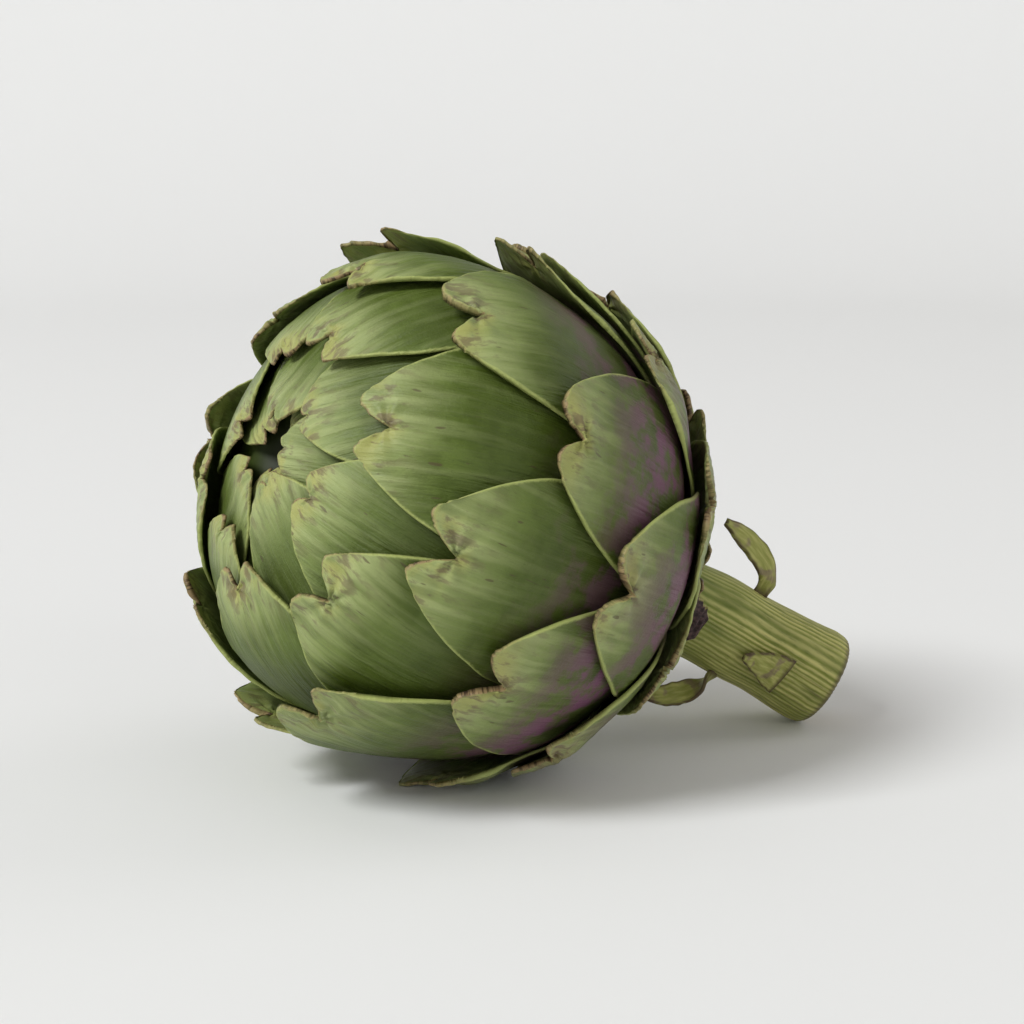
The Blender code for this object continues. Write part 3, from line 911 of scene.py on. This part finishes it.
def stem_finish():
    nodes = Nodes("stem")
    share, turn = nodes.measure("share"), nodes.measure("turn")
    rib, fill = nodes.measure("rib"), nodes.measure("fill")
    drawn_out = nodes.product(share, 0.9)
    place = nodes.place(nodes.maths("SINE", turn), nodes.maths("COSINE", turn), drawn_out)
    streaks = nodes.noise(place, 9.0, 4.0, 0.6)
    mottles = nodes.noise(place, 3.0, 3.0)
    ridge = nodes.maths("ADD", rib, nodes.product(nodes.maths("SUBTRACT", streaks, 0.5), 2.2))
    colour = nodes.mix(nodes.fade(ridge, -1.0, 1.0), STEM_GROOVE, STEM_RIDGE)
    fine_place = nodes.place(nodes.product(turn, 10.5), nodes.product(share, 9.0), 0.0)
    fine = nodes.noise(fine_place, 1.6, 4.0, 0.7)
    colour = nodes.mix(nodes.fade(fine, 0.48, 0.70, 0.0, 0.5), colour, OLIVE)
    colour = nodes.mix(nodes.fade(share, 0.75, 0.45, 0.0, 0.5), colour, SAGE)
    colour = nodes.mix(nodes.fade(mottles, 0.46, 0.66, 0.0, 0.50), colour, OLIVE)
    stains = nodes.fade(nodes.noise(place, 5.0, 4.0, 0.7), 0.54, 0.66, 0.0, 0.55)
    colour = nodes.mix(nodes.product(stains, nodes.fade(share, 0.70, 0.95)), colour, DARK_BROWN)
    colour = nodes.mix(nodes.fade(share, 0.978, 0.995, 0.0, 0.7), colour, DARK_BROWN)
    pith = nodes.noise(nodes.place(turn, nodes.product(fill, 6.0), 0.0), 2.5, 4.0, 0.7)
    cut = nodes.mix(nodes.fade(pith, 0.35, 0.7), CUT_FACE, DRY_TAN)
    colour = nodes.mix(nodes.fade(fill, 0.999, 0.97), colour, cut)
    nodes.bump(streaks, 0.35, 0.8)
    return nodes.finish(colour, 0.55)


def stem_leaf_finish():
    nodes = Nodes("stem_leaf")
    down, aside, rim = nodes.measure("down_mm"), nodes.measure("aside_mm"), nodes.measure("rim_mm")
    streaks = nodes.noise(nodes.place(aside, nodes.product(down, 0.15), 0.0), 1.3, 3.0)
    patches = nodes.noise(nodes.place(aside, down, 3.0), 0.3, 2.0)
    colour = nodes.mix(nodes.fade(streaks, 0.35, 0.75, 0.2, 0.8), STEM_GROOVE, STEM_RIDGE)
    colour = nodes.mix(nodes.fade(patches, 0.52, 0.68, 0.0, 0.5), colour, PURPLE)
    colour = nodes.mix(nodes.fade(down, 2.2, 0.4, 0.0, 0.85), colour, DARK_BROWN)
    edge = nodes.product(nodes.fade(rim, 0.8, 0.2), nodes.fade(streaks, 0.40, 0.55, 0.25, 0.9))
    colour = nodes.mix(edge, colour, DARK_BROWN)
    nodes.bump(streaks, 0.2, 0.7)
    return nodes.finish(colour, 0.6)


def withered_leaf_finish():
    nodes = Nodes("neck_leaf")
    down, aside, rim = nodes.measure("down_mm"), nodes.measure("aside_mm"), nodes.measure("rim_mm")
    streaks = nodes.noise(nodes.place(aside, nodes.product(down, 0.3), 0.0), 1.1, 4.0)
    colour = nodes.mix(nodes.fade(streaks, 0.38, 0.66), WITHERED_DARK, WITHERED_LIGHT)
    colour = nodes.mix(nodes.fade(rim, 0.5, 0.1, 0.0, 0.6), colour, STEM_RIDGE)
    nodes.bump(streaks, 0.3, 0.8)
    return nodes.finish(colour, 0.6)


def bud_finish():
    nodes = Nodes("inner_bud")
    # Painted shade: near black in the hollow at the crown, turning deep green away from it
    from_crown = nodes.fade(nodes.measure("polar_deg"), 3.0, 20.0)
    return nodes.finish(nodes.mix(from_crown, HOLLOW_PAINTED_SHADE, DEEP_GREEN), 0.6)


def floor_finish():
    return Nodes("floor").finish(FLOOR_COLOUR, FLOOR_ROUGHNESS, PLAIN_SPECULAR)


# ---------------------------------------------------------------- pieces on the frame
def add_piece(name, mesh, finish, node):
    mesh.materials.append(finish)
    piece = bpy.data.objects.new(name, mesh)
    bpy.context.scene.collection.objects.link(piece)
    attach(piece, "root")
    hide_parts(node)


def add_artichoke():
    finish = bract_finish()
    for number, index in enumerate(range(FIRST_BRACT, LAST_BRACT + 1), start=1):
        name = f"leaf_{number:02d}"
        add_piece(name, bract_mesh(index, name), finish, f"bract_{number:02d}")
    add_piece("bud_core", bud_core_mesh("bud_core"), bud_finish(), "inner_bud")
    for number, index in enumerate(YOUNG_LEANS, start=1):
        name = f"bud_leaf_{number}"
        add_piece(name, bract_mesh(index, name), finish, "inner_bud")
    add_piece("stalk", stem_mesh("stalk"), stem_finish(), "stem")
    fresh, withered = stem_leaf_finish(), withered_leaf_finish()
    for node in STEM_LEAVES:
        look = withered if node == "stem_leaf_neck" else fresh
        add_piece(node + "_fine", stem_leaf_mesh(node), look, node)


# ---------------------------------------------------------------- camera, light and floor
def add_camera():
    a, e = CAMERA_AZIMUTH, CAMERA_ELEVATION
    back = np.array((math.sin(a) * math.cos(e), -math.cos(a) * math.cos(e), math.sin(e)))
    right = np.array((math.cos(a), math.sin(a), 0.0))
    up = np.cross(back, right)
    data = bpy.data.cameras.new("camera")
    data.lens = LENS
    data.sensor_width = SENSOR
    camera = bpy.data.objects.new("camera", data)
    aside = right * CAMERA_ASIDE[0] + up * CAMERA_ASIDE[1]
    place = HEAD_CENTRE + back * CAMERA_DISTANCE - aside
    turned = Matrix((right, up, back)).transposed().to_4x4()
    camera.matrix_world = Matrix.Translation(place * METRES_PER_MM) @ turned
    bpy.context.scene.collection.objects.link(camera)
    bpy.context.scene.camera = camera


def add_light(name, place, target, size, power, colour):
    data = bpy.data.lights.new(name, "AREA")
    data.shape = "RECTANGLE"
    data.size, data.size_y = size
    data.energy = power
    data.color = colour
    light = bpy.data.objects.new(name, data)
    turned = (Vector(place) - Vector(target)).to_track_quat("Z", "Y").to_matrix().to_4x4()
    light.matrix_world = Matrix.Translation(place) @ turned
    bpy.context.scene.collection.objects.link(light)


def add_floor():
    """A pale round floor that curves up at its edge into a backdrop."""
    mesh = bpy.data.meshes.new("floor")
    angles = np.linspace(0.0, 2.0 * math.pi, FLOOR_SIDES, endpoint=False)
    points, faces = [], [tuple(range(FLOOR_SIDES))]
    for bend in np.linspace(0.0, 0.5 * math.pi, FLOOR_BEND_STEPS):
        radius = FLOOR_FLAT_RADIUS + FLOOR_BEND_RADIUS * math.sin(bend)
        height = FLOOR_BEND_RADIUS * (1.0 - math.cos(bend))
        points.extend((radius * math.cos(angle), radius * math.sin(angle), height) for angle in angles)
    for step in range(FLOOR_BEND_STEPS - 1):
        for side in range(FLOOR_SIDES):
            beside = (side + 1) % FLOOR_SIDES
            inner, outer = step * FLOOR_SIDES, (step + 1) * FLOOR_SIDES
            faces.append((inner + side, outer + side, outer + beside, inner + beside))
    mesh.from_pydata(points, [], faces)
    mesh.shade_smooth()
    mesh.materials.append(floor_finish())
    floor = bpy.data.objects.new("floor", mesh)
    bpy.context.scene.collection.objects.link(floor)


def add_world():
    world = bpy.data.worlds.new("studio")
    world.use_nodes = True
    background = world.node_tree.nodes["Background"]
    background.inputs["Color"].default_value = WORLD_COLOUR
    background.inputs["Strength"].default_value = WORLD_STRENGTH
    bpy.context.scene.world = world


def view_place(right, up, back):
    """World place in metres: right of and back from the head as the camera sees it, and up."""
    a = CAMERA_AZIMUTH
    x = right * math.cos(a) + back * math.sin(a)
    y = right * math.sin(a) - back * math.cos(a)
    return (x + HEAD_CENTRE[0] * METRES_PER_MM, y, up)


add_artichoke()
add_camera()
add_floor()
add_world()
for name, (place, target, size, power, colour) in LIGHTS.items():
    add_light(name, view_place(*place), view_place(*target), size, power, colour)
bpy.context.scene.view_settings.view_transform = "Standard"
